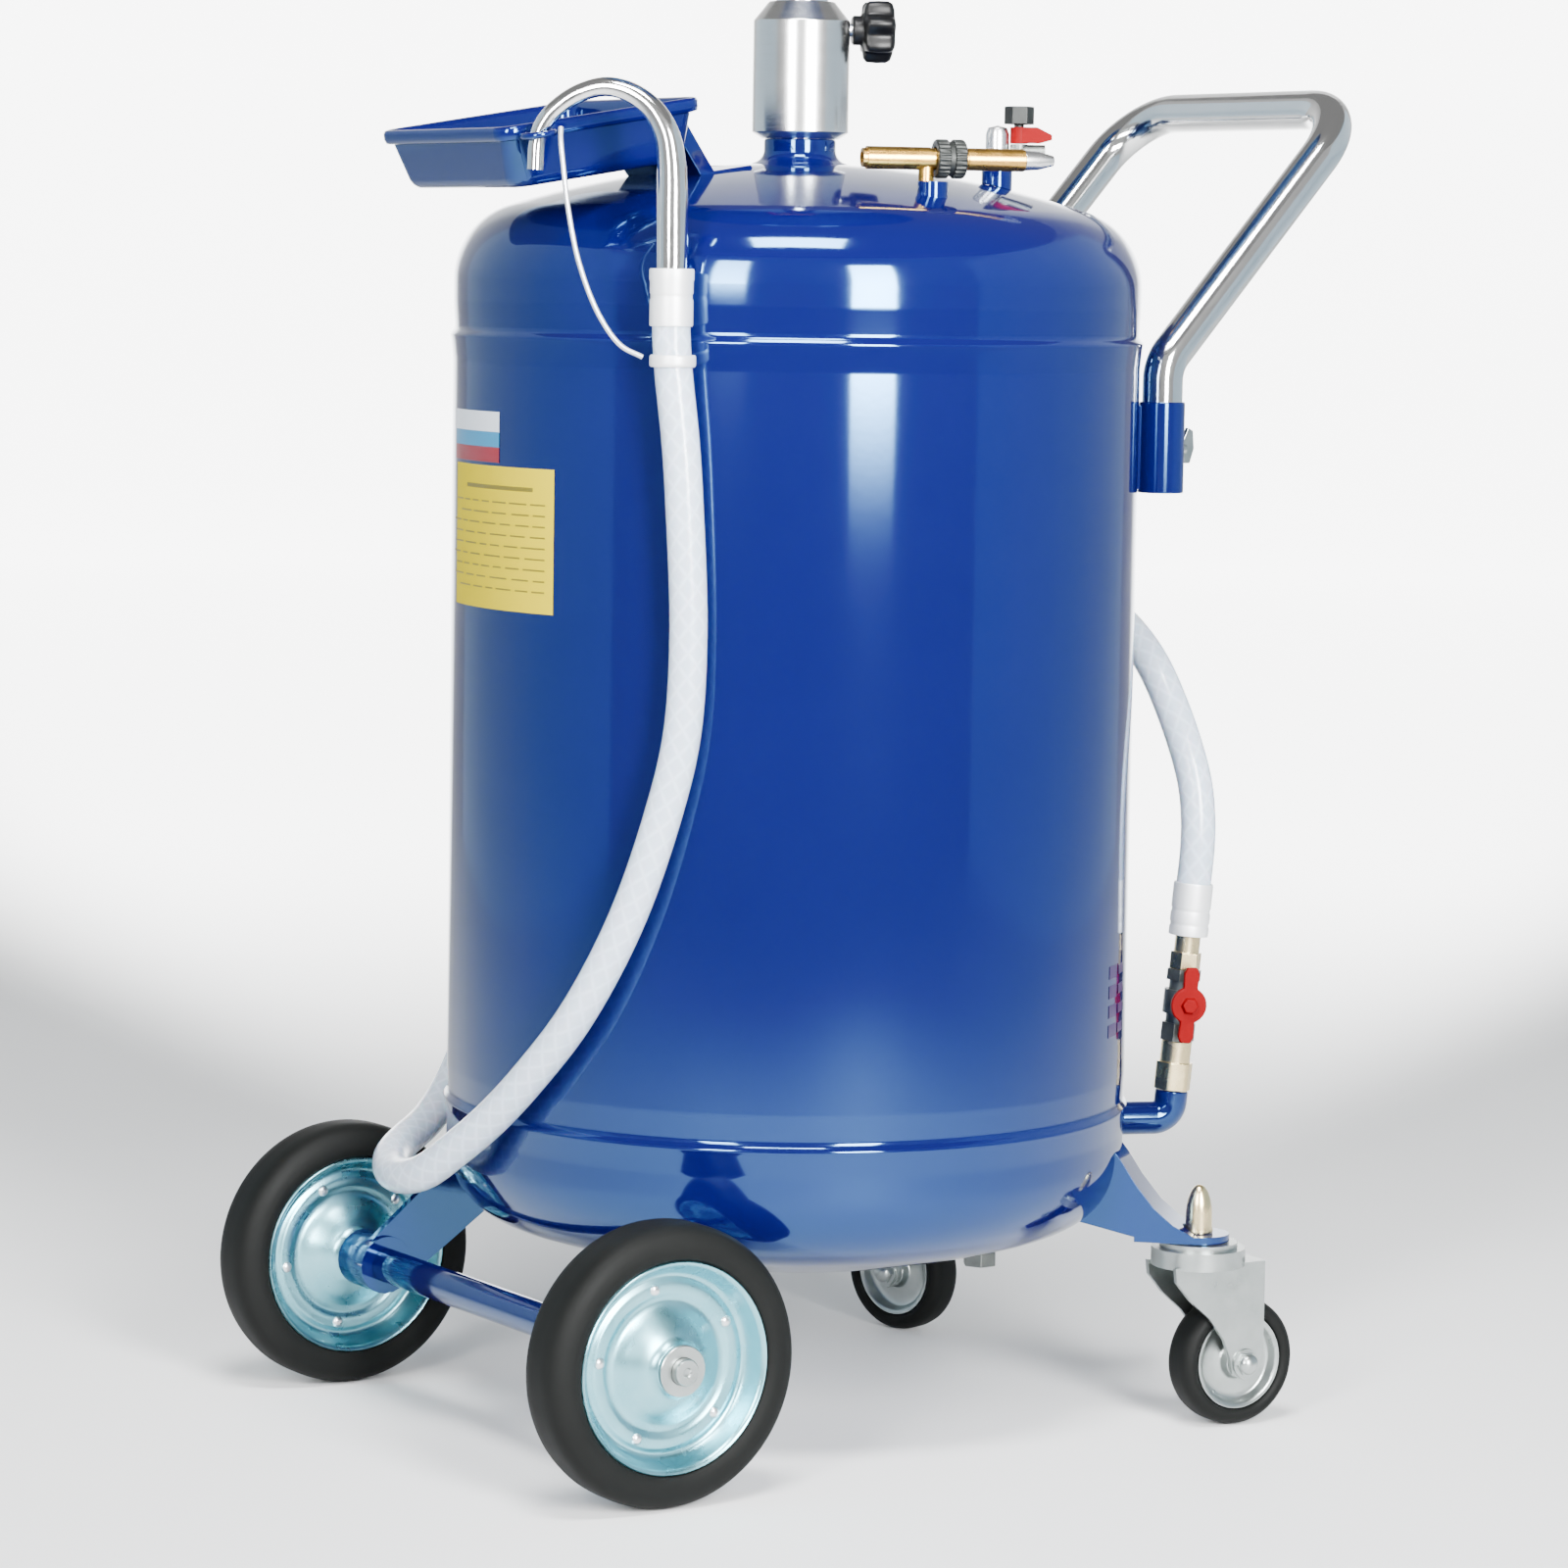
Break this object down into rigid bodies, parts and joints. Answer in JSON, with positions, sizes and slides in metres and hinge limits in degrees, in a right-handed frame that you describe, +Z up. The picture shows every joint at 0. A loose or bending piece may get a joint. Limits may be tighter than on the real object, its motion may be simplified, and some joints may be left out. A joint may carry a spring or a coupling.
{
  "type": "mobile waste oil drainer",
  "caption": "Wheeled blue pressure tank with a telescopic drain column and bowl, push handle, tool tray, braided discharge hose with hooked spout, ball valve and air fittings.",
  "frame": {"origin": "on the floor, under the middle of the whole object", "axes": "+Z up; +X from the two large wheels towards the castors and push handle; +Y away from the side with the discharge spout"},
  "size_m": [0.6435, 0.4578, 1.262],
  "materials": {
    "blue_paint": "gloss",
    "bright_steel": "satin",
    "chrome": "polished",
    "zinc": "zinc plated, satin",
    "brass": "satin",
    "gunmetal": "dull",
    "red_lever": "semi-gloss",
    "black_plastic": "matt",
    "tyre": "matt",
    "hose_pvc": "translucent, braided",
    "steel_cable": "satin"
  },
  "bodies": {
    "chassis": {"tank_shell": "blue_paint", "drain_plug": "gunmetal", "column_neck": "blue_paint", "column_collar": "bright_steel", "push_handle": "chrome", "handle_socket_near": "blue_paint", "handle_socket_far": "blue_paint", "hook_tray": "blue_paint", "tray_bracket": "blue_paint", "hook_ring": "blue_paint", "axle_tube": "blue_paint", "axle_shaft": "bright_steel", "axle_washer_near": "zinc", "axle_washer_far": "zinc", "axle_bracket_near": "blue_paint", "axle_bracket_far": "blue_paint", "castor_leg_near": "blue_paint", "castor_nut_near": "zinc", "castor_leg_far": "blue_paint", "castor_nut_far": "zinc", "air_stub": "blue_paint", "relief_stub": "blue_paint", "air_inlet_body": "brass", "air_outlet_half": "brass", "air_plug": "bright_steel", "relief_nut": "bright_steel", "relief_body": "gunmetal", "outlet_elbow": "blue_paint", "outlet_coupling": "brass", "valve_body": "gunmetal", "valve_adaptor": "brass", "ferrule_lower": "bright_steel", "hose": "hose_pvc", "ferrule_upper": "bright_steel", "spout": "chrome", "lanyard": "steel_cable", "lanyard_clip": "bright_steel"},
    "drain_column": {"drain_tube": "bright_steel", "shutoff_body": "brass", "drain_bowl": "blue_paint", "bowl_strainer": "bright_steel"},
    "shutoff_handle": {"shutoff_lever": "red_lever"},
    "column_knob": {"clamp_knob": "black_plastic"},
    "wing_screw_near": {"clamp_screw_near": "zinc"},
    "wing_screw_far": {"clamp_screw_far": "zinc"},
    "wheel_near": {"wheel_disc_near": "zinc", "wheel_tyre_near": "tyre"},
    "wheel_far": {"wheel_disc_far": "zinc", "wheel_tyre_far": "tyre"},
    "swivel_near": {"castor_fork_near": "zinc"},
    "roller_near": {"castor_disc_near": "zinc", "castor_tyre_near": "tyre"},
    "swivel_far": {"castor_fork_far": "zinc"},
    "roller_far": {"castor_disc_far": "zinc", "castor_tyre_far": "tyre"},
    "outlet_handle": {"valve_lever": "red_lever"},
    "relief_handle": {"relief_lever": "red_lever", "relief_cap": "gunmetal"},
    "coupling_sleeve": {"air_sleeve": "gunmetal"}
  },
  "joints": [
    {"name": "column_raise", "type": "slide", "parent": "chassis", "child": "drain_column", "axis": [0, 0, 1], "range_m": [0, 0.45]},
    {"name": "shutoff_turn", "type": "hinge", "parent": "drain_column", "child": "shutoff_handle", "pos_m": [-0.0725, 0, 1.1073], "axis": [1, 0, 0], "range_deg": [0, 90]},
    {"name": "knob_turn", "type": "hinge", "parent": "chassis", "child": "column_knob", "pos_m": [0.00284, -0.01648, 0.8499], "axis": [0.9063, -0.4226, 0], "range_deg": [0, 360]},
    {"name": "wing_turn_near", "type": "hinge", "parent": "chassis", "child": "wing_screw_near", "pos_m": [0.1798, -0.113, 0.598], "axis": [1, 0, 0], "range_deg": [0, 360]},
    {"name": "wing_turn_far", "type": "hinge", "parent": "chassis", "child": "wing_screw_far", "pos_m": [0.1798, 0.113, 0.598], "axis": [1, 0, 0], "range_deg": [0, 360]},
    {"name": "wheel_roll_near", "type": "hinge", "parent": "chassis", "child": "wheel_near", "pos_m": [-0.2393, -0.1904, 0.0825], "axis": [0, 1, 0], "continuous": true},
    {"name": "wheel_roll_far", "type": "hinge", "parent": "chassis", "child": "wheel_far", "pos_m": [-0.2393, 0.1904, 0.0825], "axis": [0, 1, 0], "continuous": true},
    {"name": "castor_swivel_near", "type": "hinge", "parent": "chassis", "child": "swivel_near", "pos_m": [0.1545, -0.18, 0.11], "axis": [0, 0, 1], "continuous": true},
    {"name": "castor_roll_near", "type": "hinge", "parent": "swivel_near", "child": "roller_near", "pos_m": [0.17941, -0.18218, 0.04], "axis": [0.0872, 0.9962, 0], "continuous": true},
    {"name": "castor_swivel_far", "type": "hinge", "parent": "chassis", "child": "swivel_far", "pos_m": [0.1545, 0.172, 0.11], "axis": [0, 0, 1], "continuous": true},
    {"name": "castor_roll_far", "type": "hinge", "parent": "swivel_far", "child": "roller_far", "pos_m": [0.16097, 0.14785, 0.04], "axis": [0.9659, 0.2588, 0], "continuous": true},
    {"name": "outlet_turn", "type": "hinge", "parent": "chassis", "child": "outlet_handle", "pos_m": [0.20274, -0.09456, 0.24929], "axis": [-0.373, -0.9278, 0], "range_deg": [0, 90]},
    {"name": "relief_turn", "type": "hinge", "parent": "chassis", "child": "relief_handle", "pos_m": [0.07338, -0.08112, 0.79], "axis": [0, 0, 1], "range_deg": [0, 90]},
    {"name": "sleeve_pull", "type": "slide", "parent": "chassis", "child": "coupling_sleeve", "axis": [0.9397, -0.342, 0], "range_m": [0, 0.004], "stiffness_N_per_m": 400, "springref_m": -0.001}
  ]
}
